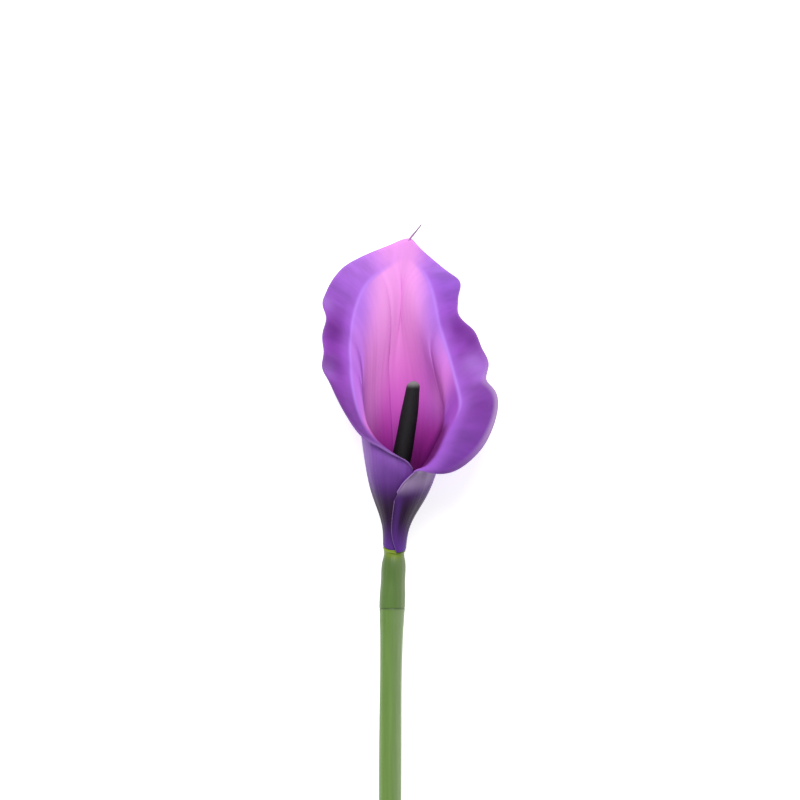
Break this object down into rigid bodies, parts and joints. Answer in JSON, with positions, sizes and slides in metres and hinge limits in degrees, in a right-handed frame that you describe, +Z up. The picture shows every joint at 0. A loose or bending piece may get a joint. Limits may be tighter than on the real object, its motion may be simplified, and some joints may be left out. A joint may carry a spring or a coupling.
{
  "type": "calla lily flower",
  "caption": "Calla lily bloom lying on its back: a rolled violet spathe around a dark spadix, on a green neck sleeve and a cut stem.",
  "frame": {"origin": "middle of the bounding box at its bottom, on the surface that the flower lies on", "axes": "+Y along the flower from the cut end to the tail of the spathe, +Z up out of the open mouth, +X to the wider lobe"},
  "size_m": [0.0816, 0.4212, 0.0443],
  "materials": {
    "spathe": "soft satin foam sheet, pink inside the cup, violet at the margin, dark purple at the foot",
    "spadix": "rough matt black",
    "neck": "satin moss green, a yellow-green ring under the bloom",
    "stem": "satin light green"
  },
  "bodies": {
    "root": {"spathe": "spathe", "spadix": "spadix", "neck": "neck", "stem": "stem"}
  },
  "joints": []
}
